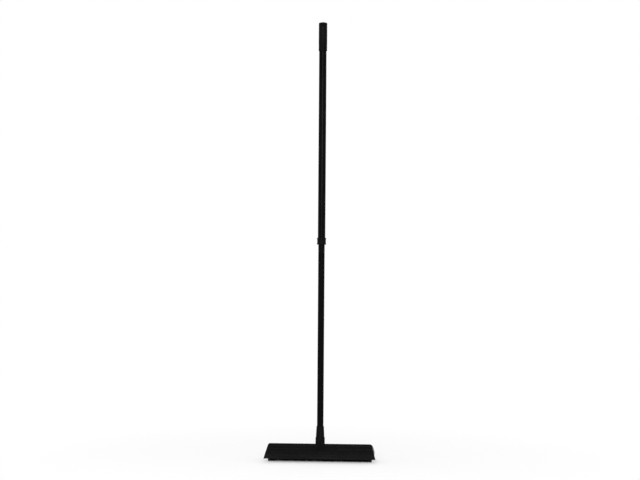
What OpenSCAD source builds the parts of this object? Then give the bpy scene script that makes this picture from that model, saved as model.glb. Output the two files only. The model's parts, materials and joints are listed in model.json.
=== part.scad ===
// Snow brush and scraper on a two-section telescopic pole.
// The head stands on its rubber pins, with the scraper blade in front, towards -Y.
// The origin is on the floor, under the axis of the pole. Sizes are in millimetres.

/* [Head] */
// Width of the head along its top edge
head_top_w = 304; // [280:1:320]
// Width of the head at the edge of the blade
head_low_w = 328; // [324:1:350]
// Depth of the head, from the edge of the blade to the back
head_depth = 88; // [86:1:96]
// Height of the front edge of the head's top above the floor
head_top_z = 53; // [52:1:56]
// Wall of the moulded head
head_wall = 2.6; // [2:0.1:3]
// Height of the rim of the threaded socket
socket_top_z = 71; // [70:1:76]
// Outside diameter of the threaded socket
socket_d = 27.5; // [27:0.5:30]

/* [Bristles] */
// Length of the rubber pins
pin_length = 25; // [24:0.5:26]
// Pins in each long row
pins_per_row = 45; // [40:1:48]
// Rows of pins from front to back
pin_rows = 9; // [8:1:9]
// Side of a pin where it leaves the pad
pin_root = 3.2; // [2.4:0.1:3.6]
// Side of a pin at its tip
pin_tip = 1.7; // [1:0.1:2]

/* [Blade] */
// Height of the edge of the blade above the floor
blade_edge_z = 12; // [8:0.5:14]
// How far the edge stands out in front of the head
blade_reach = 6; // [4:0.5:8]
// Thickness of the edge of the blade
blade_edge_t = 1.6; // [1:0.1:2]
// Number of screws that hold the clamp bar
clamp_screw_count = 6; // [4:1:8]

/* [Pole] */
// Height of the whole tool with the pole drawn out
overall_height = 1295; // [1280:1:1340]
// Outside diameter of the upper tube
upper_tube_d = 22; // [21.6:0.1:22.4]
// Outside diameter of the lower tube
lower_tube_d = 19; // [18.8:0.1:19.2]
// Wall of both tubes
tube_wall = 0.7; // [0.5:0.05:0.75]
// Height of the lower end of the collar above the floor
collar_z = 639; // [600:1:660]
// Length of the lower tube that stays inside the upper one
overlap = 67; // [66:1:90]
// Length of the ferrule above the socket
ferrule_length = 33; // [30:1:40]

/* [Lock] */
// Length of the collar
collar_length = 20; // [18:1:26]
// Outside diameter of the collar
collar_d = 27; // [26:0.5:30]
// Flutes round the collar
collar_flutes = 14; // [8:1:18]
// Diameter of the threaded stud of the lock
stud_d = 8; // [7:0.5:8]
// Slits in the expanding sleeve
sleeve_slits = 4; // [2:1:6]

/* [Grip] */
// Outside diameter of the grip
grip_d = 25; // [24.5:0.5:28]
// Length of the grip below the cap
grip_length = 64; // [56:1:90]
// Height of the hanger cap
cap_height = 21; // [20:1:26]
// Diameter of the hole for hanging the tool up
hang_hole_d = 4.5; // [4:0.5:8]

/* [Hidden] */
$fn = 64;

// Room that a cutting shape has beyond what it cuts
over = 1;
// Clearance on the radius between pieces that are fixed together
seat_gap = 0.05;
// Clearance on the radius between pieces that slide or turn in each other
run_gap = 0.1;
// Longer than any piece, for cuts right through
far = 500;
// Steps in a rounded corner of an outline
corner_fn = 32;

// Head, seen from the side: y grows to the back
back_y = head_depth / 2;
edge_y = -head_depth / 2;
nose_y = edge_y + blade_reach;
ridge_front_y = -9;
ridge_back_y = 20;
top_fall = 5;
shoulder_z = 37;
pad_z = pin_length;
pad_t = 4;
pad_top_z = pad_z + pad_t;
rim_t = 1.5;
rim_z = pad_z - rim_t;
flange_t = 3;
flange_drop = 1;
flange_z = pad_top_z - flange_drop;
seat_z = flange_z + flange_t;
nose_h = 2;
nose_top_z = seat_z + nose_h;
slope_grooves = [0.29, 0.68];
groove_r = 2.6;
groove_depth = 1.3;
edge_r = 0.8;
top_corner_r = 5;
back_corner_r = 5;
ridge_r = 3;
rib_t = 2.2;
rib_pitch = 52;
rib_y = 12;

// Strip along the front of the head that holds the blade and the front of the pad
clamp_setback = 3;
clamp_front_y = nose_y + clamp_setback;
flange_w = 13;
flange_back_y = nose_y + flange_w;
clamp_tongue = 4;
clamp_back_y = flange_back_y + clamp_tongue;
nose_wall = 5;
nose_back_y = flange_back_y + nose_wall;
clamp_inset = 8;
blade_root_t = 2.6;
screw_d = 3.5;
screw_head_d = 7;
screw_head_h = 2.2;
screw_y = (clamp_front_y + flange_back_y) / 2;
screw_grip = 4.5;
screw_end_gap = 0.5;
screw_margin = 22;

// Pad and pins
pad_gap = 0.6;
pad_side_gap = 2.4;
pad_front_y = flange_back_y + pad_gap;
pad_back_y = back_y - head_wall - pad_gap;
pad_half_w = head_half_w(pad_z) - head_wall - pad_side_gap;
rim_lip = 3;
pin_margin = 1;
pin_front_y = clamp_back_y + pin_margin;
pin_back_y = back_y - head_wall - rim_lip - pin_margin;

// Socket and ferrule
socket_floor_z = 35;
socket_floor_t = 3;
stud_end_z = 40;
stud_floor_t = 2.4;
ferrule_top_z = socket_top_z + ferrule_length;
ferrule_low_d = 24.8;
ferrule_top_d = 21.6;
ferrule_ribs = 4;
ferrule_rib_h = 0.4;
ferrule_seat = 5;
tube_low_z = socket_top_z + ferrule_seat;
plug_length = 22;
ferrule_bore_d = 10;
rivet_d = 3;
rivet_head_d = 5;
rivet_head_h = 1;
ferrule_rivet_rise = 13;
ferrule_rivet_z = tube_low_z + ferrule_rivet_rise;

// Threads: the pole's in the socket, and the finer one of the lock
thread_flank = 0.75;
thread_bite = 0.4;
thread_gap = 0.2;
pole_thread_d = 21.4;
pole_thread_depth = 0.8;
pole_thread_crest = 1.6;
pole_thread_pitch = 5;
pole_thread_turns = 4.5;
pole_thread_steps = 24;
pole_thread_lead = 3.5;
pole_thread_z = stud_end_z + pole_thread_lead;
socket_turns_below = 1;
socket_turns_above = 1.5;
lock_thread_depth = 0.7;
lock_thread_crest = 0.9;
lock_thread_pitch = 4;
lock_thread_steps = 16;

// Buttress from the socket down the front slope
buttress_drop = 2;
buttress_top_z = socket_top_z - buttress_drop;
buttress_toe = 1.5;
buttress_foot_y = nose_y + buttress_toe;
buttress_lap = 0.5;
buttress_foot_z = nose_top_z + buttress_lap;
buttress_top_w = 8;
buttress_foot_w = 26;

// Pole
upper_bore_d = upper_tube_d - 2 * tube_wall;
lower_bore_d = lower_tube_d - 2 * tube_wall;
lower_top_z = collar_z + overlap;
cap_z = overall_height - cap_height;
grip_z = cap_z - grip_length;
collar_lip_t = 1.5;
bush_flange_t = 1.5;
upper_low_z = collar_z + collar_lip_t + bush_flange_t;
bush_length = 60;
bush_slit = 2;

// Twist lock, from the plug upwards
lock_plug_length = 30;
plug_flange_t = 3;
plug_flange_d = upper_bore_d - 4 * run_gap;
plug_top_z = lower_top_z + plug_flange_t;
stud_depth = 18;
stud_root_z = plug_top_z - stud_depth;
sleeve_gap = 0.4;
sleeve_z = plug_top_z + sleeve_gap;
sleeve_length = 36;
sleeve_top_z = sleeve_z + sleeve_length;
sleeve_d = upper_bore_d - 3 * run_gap;
sleeve_base = 6;
throat_h = 4;
throat_z = sleeve_z + sleeve_base + throat_h;
sleeve_mouth_d = 16.6;
sleeve_throat_d = 12.4;
slit_w = 1.6;
cone_length = 20;
cone_drop = 0.5;
cone_z = sleeve_top_z - cone_length - cone_drop;
cone_gap = 0.15;
key_w = slit_w - 4 * run_gap;
key_reach = 1.2;
nut_gap = 6;
nut_z = sleeve_top_z + nut_gap;
nut_h = 5;
nut_across_flats = 13;
stud_tip = 1;
stud_top_z = nut_z + nut_h + stud_tip;
lock_thread_lead = 4;
lock_thread_z = sleeve_z + lock_thread_lead;
lock_thread_end = 2;
lock_thread_turns = floor((stud_top_z - lock_thread_z - lock_thread_end) / lock_thread_pitch);
plug_pin_d = 2.5;
plug_pin_drop = 22;
plug_pin_z = lower_top_z - plug_pin_drop;

// Grip and cap
spigot_length = 22;
spigot_d = upper_bore_d - 2 * seat_gap;
spigot_bore_d = 14;
spigot_floor_t = 4;
hang_hole_rise = 10;
hang_hole_z = cap_z + hang_hole_rise;
hang_floor_t = 3;
cap_r = 3;
cap_crown = 1.5;
cap_seam = 0.4;
grip_chamfer = 1.2;
grip_rings = 3;
ring_w = 1.4;
ring_h = 0.5;
ring_pitch = 4;
ring_rise = 8;
ring_z = grip_z + ring_rise;
grip_screw_drop = 14;
grip_screw_z = cap_z - grip_screw_drop;
grip_screw_recess_d = 8;
grip_screw_recess_h = 1.4;
grip_screw_head_d = 6.4;
grip_screw_head_h = 1.2;
grip_screw_d = 3;
grip_screw_length = 9;
collar_rivet_drop = 3;
collar_rivet_z = collar_z + collar_length - collar_rivet_drop;
collar_waist = 0.7;
collar_lip_h = 4;
flute_r = 1.6;
flute_depth = 0.6;

black = "#1b1b1d";
dark = "#2b2b2e";
rubber = "#232325";
steel = "#b8bcc0";
nylon = "#d9d6cb";

// Half the width of the head at height z
function head_half_w(z) =
  (head_low_w + (head_top_w - head_low_w) * (z - blade_edge_z) / (head_top_z - blade_edge_z)) / 2;

// Points of a circular arc in the plane of an outline
function arc(x, y, r, from, to, steps = 8) =
  [for (i = [0:steps]) let (a = from + (to - from) * i / steps) [x + r * cos(a), y + r * sin(a)]];

// Extrudes an outline drawn in Y and Z along the width
module along_x(width) {
  rotate([90, 0, 90])
    linear_extrude(width, center = true)
      children();
}

// Extrudes an outline drawn in X and Z along the depth
module along_y(depth) {
  rotate([90, 0, 0])
    linear_extrude(depth, center = true)
      children();
}

// Keeps what lies above height z
module above(z) {
  translate([-far / 2, -far / 2, z])
    cube([far, far, far]);
}

// Everything behind y and below height z
module behind(y, z) {
  translate([-far / 2, y, -over])
    cube([far, far, z + over]);
}

// A round bar along Y, centred on the pole at height z
module cross_bar(d, z, length) {
  translate([0, 0, z])
    rotate([90, 0, 0])
      cylinder(d = d, h = length, center = true);
}

// A bore from the front, at -Y, that stops in front of the pole's axis, or behind it if stop is negative
module front_bore(d, z, stop) {
  translate([0, -stop, z])
    rotate([90, 0, 0])
      cylinder(d = d, h = far);
}

// A tube between two heights
module tube(d_out, d_in, z_low, z_high) {
  translate([0, 0, z_low])
    difference() {
      cylinder(d = d_out, h = z_high - z_low);
      translate([0, 0, -over])
        cylinder(d = d_in, h = z_high - z_low + 2 * over);
    }
}

// Helical ridge of a right-hand thread round the axis of the pole, starting at z = 0.
// A gap makes it the cutter for the mating thread, wider all round.
module thread_ridge(crest_r, depth, crest_w, pitch, turns, steps, gap = 0) {
  root_r = crest_r - depth - thread_bite;
  top_r = crest_r + gap;
  function half_w(r) = crest_w / 2 + (crest_r - r) * thread_flank + gap * (1 + thread_flank / 2);
  rings = turns * steps;
  points = [for (i = [0:rings])
    let (a = 360 * i / steps, z = pitch * i / steps)
      for (corner = [[root_r, -1], [top_r, -1], [top_r, 1], [root_r, 1]])
        [corner[0] * cos(a), corner[0] * sin(a), z + corner[1] * half_w(corner[0])]];
  sides = [for (i = [0:rings - 1]) for (c = [0:3])
    let (a = 4 * i + c, b = 4 * i + (c + 1) % 4)
      each [[a, b + 4, a + 4], [a, b, b + 4]]];
  last = 4 * rings;
  ends = [[0, 2, 1], [0, 3, 2], [last, last + 1, last + 2], [last, last + 2, last + 3]];
  polyhedron(points, concat(sides, ends));
}

// Thread of the pole, as a ridge or, with a gap, as the cutter of the socket's thread
module pole_thread(turns_below = 0, turns = pole_thread_turns, gap = 0) {
  translate([0, 0, pole_thread_z - turns_below * pole_thread_pitch])
    thread_ridge(
      pole_thread_d / 2, pole_thread_depth, pole_thread_crest,
      pole_thread_pitch, turns, pole_thread_steps, gap
    );
}

// Bore and thread that run on the stud of the lock, cut through a piece between two heights
module lock_thread_cut(z_low, z_high) {
  first_turn = floor((z_low - lock_thread_z) / lock_thread_pitch) - 1;
  turns = ceil((z_high - z_low) / lock_thread_pitch) + 3;
  translate([0, 0, z_low - over])
    cylinder(r = stud_d / 2 - lock_thread_depth + thread_gap, h = z_high - z_low + 2 * over);
  translate([0, 0, lock_thread_z + first_turn * lock_thread_pitch])
    thread_ridge(
      stud_d / 2, lock_thread_depth, lock_thread_crest,
      lock_thread_pitch, turns, lock_thread_steps, thread_gap
    );
}

// Cross recess of a screw head whose top is at z = 0, cut downwards
module cross_recess(size, depth) {
  bar_w = size / 4;
  for (turn = [0, 90])
    rotate([0, 0, turn])
      translate([-size / 2, -bar_w / 2, -depth])
        cube([size, bar_w, depth + over]);
}

// A pan head screw that points along +Z, with the underside of its head at z = 0
module pan_screw(d, length, head_d, head_h) {
  edge_h = head_h / 2;
  crown_d = 0.7 * head_d;
  recess_share = 0.6;
  difference() {
    union() {
      translate([0, 0, -edge_h])
        cylinder(d = head_d, h = edge_h);
      translate([0, 0, -head_h])
        cylinder(d1 = crown_d, d2 = head_d, h = head_h - edge_h);
      cylinder(d = d, h = length - d / 2);
      translate([0, 0, length - d / 2])
        cylinder(d1 = d, d2 = d / 3, h = d / 2);
    }
    translate([0, 0, -head_h])
      mirror([0, 0, 1])
        cross_recess(recess_share * head_d, recess_share * head_h);
  }
}

// Side outline of the head, down to the floor, with shallow grooves along the front slope
module head_side() {
  run = ridge_front_y - nose_y;
  rise = head_top_z - nose_top_z;
  slope_angle = atan2(rise, run);
  ridge_back_z = head_top_z - top_fall;
  top_angle = atan2(top_fall, ridge_back_y - ridge_front_y);
  back_angle = atan2(ridge_back_z - shoulder_z, back_y - ridge_back_y);
  groove_lift = groove_r - groove_depth;
  difference() {
    offset(r = edge_r, $fn = corner_fn)
      offset(delta = -edge_r)
        polygon(concat(
          [[nose_y, 0], [nose_y, nose_top_z]],
          arc(ridge_front_y, head_top_z - ridge_r, ridge_r, 90 + slope_angle, 90 - top_angle),
          arc(ridge_back_y, ridge_back_z - ridge_r, ridge_r, 90 - top_angle, 90 - back_angle),
          arc(back_y - ridge_r, shoulder_z - ridge_r, ridge_r, 90 - back_angle, 0),
          [[back_y, 0]]
        ));
    for (share = slope_grooves)
      translate([
        nose_y + share * run - groove_lift * sin(slope_angle),
        nose_top_z + share * rise + groove_lift * cos(slope_angle)
      ])
        circle(groove_r, $fn = corner_fn);
  }
}

// Front outline of the head, down to the floor
module head_front() {
  low = head_half_w(0);
  high = head_half_w(head_top_z);
  offset(r = top_corner_r, $fn = corner_fn)
    offset(delta = -top_corner_r)
      polygon([[-low, 0], [low, 0], [high, head_top_z], [-high, head_top_z]]);
}

// Plan of the head at the floor, with its rounded back corners, a touch wider than the ends
module head_plan() {
  half = head_half_w(0) + seat_gap;
  offset(r = back_corner_r, $fn = corner_fn)
    offset(delta = -back_corner_r)
      translate([-half, -far / 2])
        square([2 * half, far / 2 + back_y]);
}

// The form of the head, drawn in by an inset on every side but the underside
module head_form(inset) {
  plan_h = head_top_z + over;
  narrowing = head_half_w(plan_h) / head_half_w(0);
  intersection() {
    along_x(far) offset(delta = -inset) head_side();
    along_y(far) offset(delta = -inset) head_front();
    linear_extrude(plan_h, scale = [narrowing, 1], slices = 1) offset(delta = -inset) head_plan();
  }
}

// Hollow of the head, open below
module head_hollow() {
  intersection() {
    head_form(head_wall);
    union() {
      behind(nose_back_y, far);
      behind(flange_back_y, pad_top_z);
    }
  }
}

// Lip inside the back wall that carries the back edge of the pad
module head_rim_lip() {
  intersection() {
    head_form(head_wall / 2);
    translate([-far / 2, back_y - head_wall - rim_lip, rim_z])
      cube([far, far, rim_t]);
  }
}

// Ribs under the roof of the head, down to the top of the pad
module head_ribs() {
  rib_count = floor(head_half_w(head_top_z) / rib_pitch);
  intersection() {
    head_form(head_wall / 2);
    above(pad_top_z);
    behind(nose_back_y - over, far);
    union() {
      for (i = [-rib_count:rib_count])
        translate([i * rib_pitch - rib_t / 2, -far / 2, 0])
          cube([rib_t, far, far]);
      translate([-far / 2, rib_y, 0])
        cube([far, rib_t, far]);
    }
  }
}

// Buttress in front of the socket, narrow at the rim and wide at its foot
module head_buttress() {
  intersection() {
    along_x(far)
      polygon([
        [0, buttress_foot_z], [buttress_foot_y, buttress_foot_z],
        [-socket_d / 2 - buttress_lap, buttress_top_z], [0, buttress_top_z]
      ]);
    along_y(far)
      polygon([
        [-buttress_foot_w / 2, buttress_foot_z], [buttress_foot_w / 2, buttress_foot_z],
        [buttress_top_w / 2, buttress_top_z], [-buttress_top_w / 2, buttress_top_z]
      ]);
  }
}

// Places its child at each screw of the clamp bar
module at_clamp_screws() {
  reach = head_half_w(seat_z) - screw_margin;
  for (i = [0:clamp_screw_count - 1])
    translate([-reach + 2 * reach * i / (clamp_screw_count - 1), screw_y, 0])
      children();
}

module head_frame() {
  color(black)
    difference() {
      union() {
        difference() {
          head_form(0);
          translate([-far / 2, -far / 2, -over])
            cube([far, far, rim_z + over]);
          translate([-far / 2, flange_back_y - far, -over])
            cube([far, far, seat_z + over]);
          head_hollow();
        }
        head_rim_lip();
        head_ribs();
        head_buttress();
        translate([0, 0, socket_floor_z - socket_floor_t])
          cylinder(d = socket_d, h = socket_top_z - socket_floor_z + socket_floor_t);
      }
      translate([0, 0, socket_floor_z])
        cylinder(r = pole_thread_d / 2 - pole_thread_depth + thread_gap, h = far);
      pole_thread(
        turns_below = socket_turns_below,
        turns = socket_turns_below + pole_thread_turns + socket_turns_above,
        gap = thread_gap
      );
      at_clamp_screws()
        cylinder(d = screw_d + 2 * seat_gap, h = seat_z + screw_grip + screw_end_gap);
    }
}

// Rubber pins in staggered rows on their pad, as one closed surface.
// The underside of the pad is a net of cells with corners every half pitch. A pin grows from each cell.
module bristle_pad() {
  pitch = 2 * pad_half_w / pins_per_row;
  half_steps = 2 * pins_per_row;
  row_pitch = (pin_back_y - pin_front_y) / pin_rows;
  margin_rows = pin_rows + 2;
  // Places of the lines between rows: the bare margins in front and behind, and the rows themselves
  line_y = concat(
    [pad_front_y],
    [for (j = [0:pin_rows]) pin_front_y + j * row_pitch],
    [pad_back_y]
  );
  net_count = (half_steps + 1) * (margin_rows + 1);
  net = [for (j = [0:margin_rows]) for (k = [0:half_steps])
    [-pad_half_w + k * pitch / 2, line_y[j], pad_z]];
  // Each pin: the half step where its cell starts, and its row
  pins = [for (j = [1:pin_rows]) for (i = [0:pins_per_row - 1 - j % 2]) [2 * i + j % 2, j]];
  square_corners = [[-1, -1], [1, -1], [1, 1], [-1, 1]];
  pin_points = [for (p = pins)
    let (x = -pad_half_w + (p[0] + 1) * pitch / 2, y = (line_y[p[1]] + line_y[p[1] + 1]) / 2)
      each [for (ring = [[pin_root, pad_z], [pin_tip, 0]]) for (c = square_corners)
        [x + c[0] * ring[0] / 2, y + c[1] * ring[0] / 2, ring[1]]]];
  lid = net_count + len(pin_points);
  lid_points = [for (y = [pad_front_y, pad_back_y]) for (x = [-pad_half_w, pad_half_w]) [x, y, pad_top_z]];

  function at(k, j) = j * (half_steps + 1) + k;
  function bare(k, j) = [
    [at(k, j), at(k + 1, j), at(k + 1, j + 1)],
    [at(k, j), at(k + 1, j + 1), at(k, j + 1)]
  ];

  // A cell of six corners round the root of its pin, then the sides and the tip of the pin
  cells = [for (n = [0:len(pins) - 1])
    let (
      k = pins[n][0], j = pins[n][1], b = net_count + 8 * n, t = b + 4,
      o = [at(k, j), at(k + 1, j), at(k + 2, j), at(k + 2, j + 1), at(k + 1, j + 1), at(k, j + 1)]
    )
      each concat(
        [
          [o[0], o[1], b], [o[1], b + 1, b], [o[1], o[2], b + 1],
          [o[2], o[3], b + 2], [o[2], b + 2, b + 1], [o[3], o[4], b + 2],
          [o[4], b + 3, b + 2], [o[4], o[5], b + 3], [o[5], o[0], b + 3], [o[0], b, b + 3]
        ],
        [for (i = [0:3]) each [[b + i, b + (i + 1) % 4, t + (i + 1) % 4], [b + i, t + (i + 1) % 4, t + i]]],
        [[t, t + 1, t + 2], [t, t + 2, t + 3]]
      )];
  row_ends = [for (j = [1:pin_rows]) if (j % 2 == 1) each concat(bare(0, j), bare(half_steps - 1, j))];
  margins = [for (j = [0, margin_rows - 1]) for (k = [0:half_steps - 1]) each bare(k, j)];
  front = concat(
    [for (k = [0:half_steps - 1]) [at(k + 1, 0), at(k, 0), lid]],
    [[at(half_steps, 0), lid, lid + 1]]
  );
  back = concat(
    [for (k = [0:half_steps - 1]) [at(k, margin_rows), at(k + 1, margin_rows), lid + 2]],
    [[lid + 2, at(half_steps, margin_rows), lid + 3]]
  );
  left = concat(
    [for (j = [0:margin_rows - 1]) [at(0, j), at(0, j + 1), lid]],
    [[lid, at(0, margin_rows), lid + 2]]
  );
  right = concat(
    [for (j = [0:margin_rows - 1]) [at(half_steps, j + 1), at(half_steps, j), lid + 1]],
    [[at(half_steps, margin_rows), lid + 1, lid + 3]]
  );
  top = [[lid, lid + 2, lid + 3], [lid, lid + 3, lid + 1]];

  color(rubber)
    polyhedron(
      points = concat(net, pin_points, lid_points),
      faces = concat(cells, row_ends, margins, front, back, left, right, top)
    );
}

module scraper_blade() {
  root_y = nose_y + blade_root_t;
  line_share = 0.5;
  line_r = 1.5;
  line_depth = 0.8;
  seam = 1;
  seam_share = seam / (seat_z - blade_edge_z);
  color(rubber)
    difference() {
      intersection() {
        along_x(far)
          difference() {
            polygon([
              [flange_back_y, seat_z], [nose_y + seam, seat_z],
              [nose_y + seam_share * (edge_y - nose_y), seat_z - seam],
              [edge_y, blade_edge_z], [edge_y + blade_edge_t, blade_edge_z],
              [root_y, flange_z], [flange_back_y, flange_z]
            ]);
            translate([
              nose_y + line_share * (edge_y - nose_y) - line_r + line_depth,
              seat_z + line_share * (blade_edge_z - seat_z)
            ])
              circle(line_r);
          }
        along_y(far) head_front();
      }
      at_clamp_screws()
        cylinder(d = screw_d + 2 * seat_gap, h = far);
    }
}

module blade_clamp() {
  color(black)
    difference() {
      along_x(2 * (head_half_w(seat_z) - clamp_inset))
        polygon([
          [clamp_front_y, rim_z], [clamp_back_y, rim_z], [clamp_back_y, pad_z],
          [flange_back_y, pad_z], [flange_back_y, flange_z], [clamp_front_y, flange_z]
        ]);
      at_clamp_screws()
        cylinder(d = screw_d + 2 * seat_gap, h = far);
    }
}

module clamp_screws() {
  color(steel)
    at_clamp_screws()
      translate([0, 0, rim_z])
        pan_screw(screw_d, seat_z + screw_grip - rim_z, screw_head_d, screw_head_h);
}

// Diameter of the skirt of the ferrule at height z
function skirt_d(z) =
  ferrule_low_d + (ferrule_top_d - ferrule_low_d) * (z - socket_top_z) / ferrule_length;

module ferrule() {
  core_r = pole_thread_d / 2 - pole_thread_depth;
  stud_floor_z = stud_end_z + stud_floor_t;
  edge = 0.8;
  rib_step = ferrule_length / (ferrule_ribs + 1);
  rib_half = 1.2;
  ribs = [for (i = [1:ferrule_ribs])
    let (z = socket_top_z + i * rib_step)
      each [
        [skirt_d(z - rib_half) / 2, z - rib_half],
        [skirt_d(z) / 2 + ferrule_rib_h, z - rib_half / 2],
        [skirt_d(z) / 2 + ferrule_rib_h, z + rib_half / 2],
        [skirt_d(z + rib_half) / 2, z + rib_half]
      ]];
  plug_r = lower_bore_d / 2 - seat_gap;
  seat_r = lower_tube_d / 2 + seat_gap;
  plug_top = tube_low_z + plug_length;
  color(dark)
    difference() {
      union() {
        rotate_extrude()
          polygon(concat(
            [
              [0, stud_end_z], [core_r - edge, stud_end_z], [core_r, stud_end_z + edge],
              [core_r, socket_top_z],
              [ferrule_low_d / 2 - edge, socket_top_z], [ferrule_low_d / 2, socket_top_z + edge]
            ],
            ribs,
            [
              [ferrule_top_d / 2, ferrule_top_z - edge], [ferrule_top_d / 2 - edge / 2, ferrule_top_z],
              [seat_r, ferrule_top_z], [seat_r, tube_low_z], [plug_r, tube_low_z],
              [plug_r, plug_top - edge], [plug_r - edge, plug_top],
              [ferrule_bore_d / 2, plug_top], [ferrule_bore_d / 2, stud_floor_z],
              [0, stud_floor_z]
            ]
          ));
        pole_thread();
      }
      cross_bar(rivet_d + 2 * seat_gap, ferrule_rivet_z, far);
      for (side = [-1, 1])
        translate([0, side * (skirt_d(ferrule_rivet_z) / 2 + far / 2 - rivet_head_h), ferrule_rivet_z])
          rotate([90, 0, 0])
            cylinder(d = rivet_head_d + 2 * seat_gap, h = far, center = true);
    }
}

module ferrule_rivet() {
  reach = skirt_d(ferrule_rivet_z) / 2;
  dome = 0.4;
  color(steel)
    union() {
      cross_bar(rivet_d, ferrule_rivet_z, 2 * reach);
      for (side = [-1, 1])
        translate([0, side * (reach - rivet_head_h), ferrule_rivet_z])
          rotate([-90 * side, 0, 0]) {
            cylinder(d = rivet_head_d, h = rivet_head_h);
            translate([0, 0, rivet_head_h])
              cylinder(d1 = rivet_head_d, d2 = rivet_d, h = dome);
          }
    }
}

module lower_tube() {
  color(black)
    difference() {
      tube(lower_tube_d, lower_bore_d, tube_low_z, lower_top_z);
      cross_bar(rivet_d + 2 * seat_gap, ferrule_rivet_z, far);
      cross_bar(plug_pin_d + 2 * seat_gap, plug_pin_z, far);
    }
}

module lock_plug() {
  color(nylon)
    difference() {
      union() {
        translate([0, 0, lower_top_z - lock_plug_length])
          cylinder(d = lower_bore_d - 2 * seat_gap, h = lock_plug_length);
        translate([0, 0, lower_top_z])
          cylinder(d = plug_flange_d, h = plug_flange_t);
      }
      translate([0, 0, stud_root_z])
        cylinder(d = stud_d + 2 * seat_gap, h = far);
      cross_bar(plug_pin_d + 2 * seat_gap, plug_pin_z, far);
    }
}

module plug_pin() {
  color(steel)
    cross_bar(plug_pin_d, plug_pin_z, lower_tube_d - 2 * run_gap);
}

module lock_stud() {
  core_r = stud_d / 2 - lock_thread_depth;
  color(steel)
    union() {
      translate([0, 0, stud_root_z])
        cylinder(d = stud_d, h = sleeve_z - stud_root_z);
      translate([0, 0, stud_root_z])
        cylinder(r = core_r, h = stud_top_z - stud_root_z - stud_tip);
      translate([0, 0, stud_top_z - stud_tip])
        cylinder(r1 = core_r, r2 = core_r - stud_tip, h = stud_tip);
      translate([0, 0, lock_thread_z])
        thread_ridge(
          stud_d / 2, lock_thread_depth, lock_thread_crest,
          lock_thread_pitch, lock_thread_turns, lock_thread_steps
        );
    }
}

module lock_nut() {
  color(steel)
    difference() {
      translate([0, 0, nut_z])
        cylinder(d = nut_across_flats / cos(30), h = nut_h, $fn = 6);
      lock_thread_cut(nut_z, nut_z + nut_h);
    }
}

// Taper shared by the mouth of the sleeve and the cone: diameter at height z
function taper_d(z) =
  sleeve_throat_d + (sleeve_mouth_d - sleeve_throat_d) * (z - throat_z) / (sleeve_top_z - throat_z);

module sleeve_slit_bars(width, length) {
  for (i = [0:sleeve_slits - 1])
    rotate([0, 0, i * 360 / sleeve_slits])
      translate([0, -width / 2, 0])
        cube([sleeve_d, width, length]);
}

module lock_sleeve() {
  cut_top_z = sleeve_top_z + over;
  color(nylon)
    difference() {
      translate([0, 0, sleeve_z])
        cylinder(d = sleeve_d, h = sleeve_length);
      translate([0, 0, sleeve_z - over])
        cylinder(d = stud_d + 4 * run_gap, h = sleeve_length);
      translate([0, 0, sleeve_z + sleeve_base])
        cylinder(d = sleeve_throat_d, h = sleeve_length);
      translate([0, 0, throat_z])
        cylinder(d1 = sleeve_throat_d, d2 = taper_d(cut_top_z), h = cut_top_z - throat_z);
      translate([0, 0, throat_z])
        sleeve_slit_bars(slit_w, sleeve_length);
    }
}

module lock_cone() {
  key_d = taper_d(cone_z) + 2 * key_reach;
  color(nylon)
    difference() {
      union() {
        translate([0, 0, cone_z])
          cylinder(
            d1 = taper_d(cone_z) - 2 * cone_gap,
            d2 = taper_d(cone_z + cone_length) - 2 * cone_gap,
            h = cone_length
          );
        intersection() {
          translate([0, 0, cone_z])
            sleeve_slit_bars(key_w, cone_length);
          translate([0, 0, cone_z])
            cylinder(d1 = key_d, d2 = taper_d(cone_z + cone_length) + 2 * key_reach, h = cone_length);
        }
      }
      lock_thread_cut(cone_z, cone_z + cone_length);
    }
}

module guide_bush() {
  color(nylon)
    difference() {
      union() {
        tube(
          upper_bore_d - 2 * seat_gap, lower_tube_d + 2 * run_gap,
          upper_low_z, upper_low_z + bush_length - bush_flange_t
        );
        tube(upper_tube_d, lower_tube_d + 2 * run_gap, collar_z + collar_lip_t, upper_low_z);
      }
      translate([-bush_slit / 2, 0, collar_z])
        cube([bush_slit, far, far]);
    }
}

module lock_collar() {
  r = collar_d / 2;
  edge = 1;
  bore_r = upper_tube_d / 2 + seat_gap;
  lip_r = lower_tube_d / 2 + 3 * run_gap;
  top_z = collar_z + collar_length;
  waist_r = r - collar_waist;
  color(dark)
    difference() {
      rotate_extrude()
        polygon([
          [lip_r, collar_z], [r - edge, collar_z], [r, collar_z + edge],
          [r, collar_z + collar_lip_h], [waist_r, collar_z + collar_lip_h + collar_waist],
          [waist_r, top_z - collar_lip_h - collar_waist], [r, top_z - collar_lip_h],
          [r, top_z - edge], [r - edge, top_z],
          [bore_r, top_z], [bore_r, collar_z + collar_lip_t], [lip_r, collar_z + collar_lip_t]
        ]);
      for (i = [0:collar_flutes - 1])
        rotate([0, 0, (i + 0.5) * 360 / collar_flutes])
          translate([waist_r + flute_r - flute_depth, 0, collar_z + collar_lip_h])
            cylinder(r = flute_r, h = collar_length - 2 * collar_lip_h);
      cross_bar(rivet_d + 2 * seat_gap, collar_rivet_z, far);
    }
}

module collar_rivets() {
  inner = upper_bore_d / 2;
  dome = 0.3;
  length = collar_d / 2 - inner;
  color(steel)
    for (side = [-1, 1])
      translate([0, side * inner, collar_rivet_z])
        rotate([-90 * side, 0, 0]) {
          cylinder(d = rivet_d, h = length);
          translate([0, 0, length])
            cylinder(d1 = rivet_d, d2 = rivet_d / 2, h = dome);
        }
}

module upper_tube() {
  color(black)
    difference() {
      tube(upper_tube_d, upper_bore_d, upper_low_z, cap_z);
      cross_bar(rivet_d + 2 * seat_gap, collar_rivet_z, far);
      front_bore(grip_screw_d + 2 * seat_gap, grip_screw_z, 0);
    }
}

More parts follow.
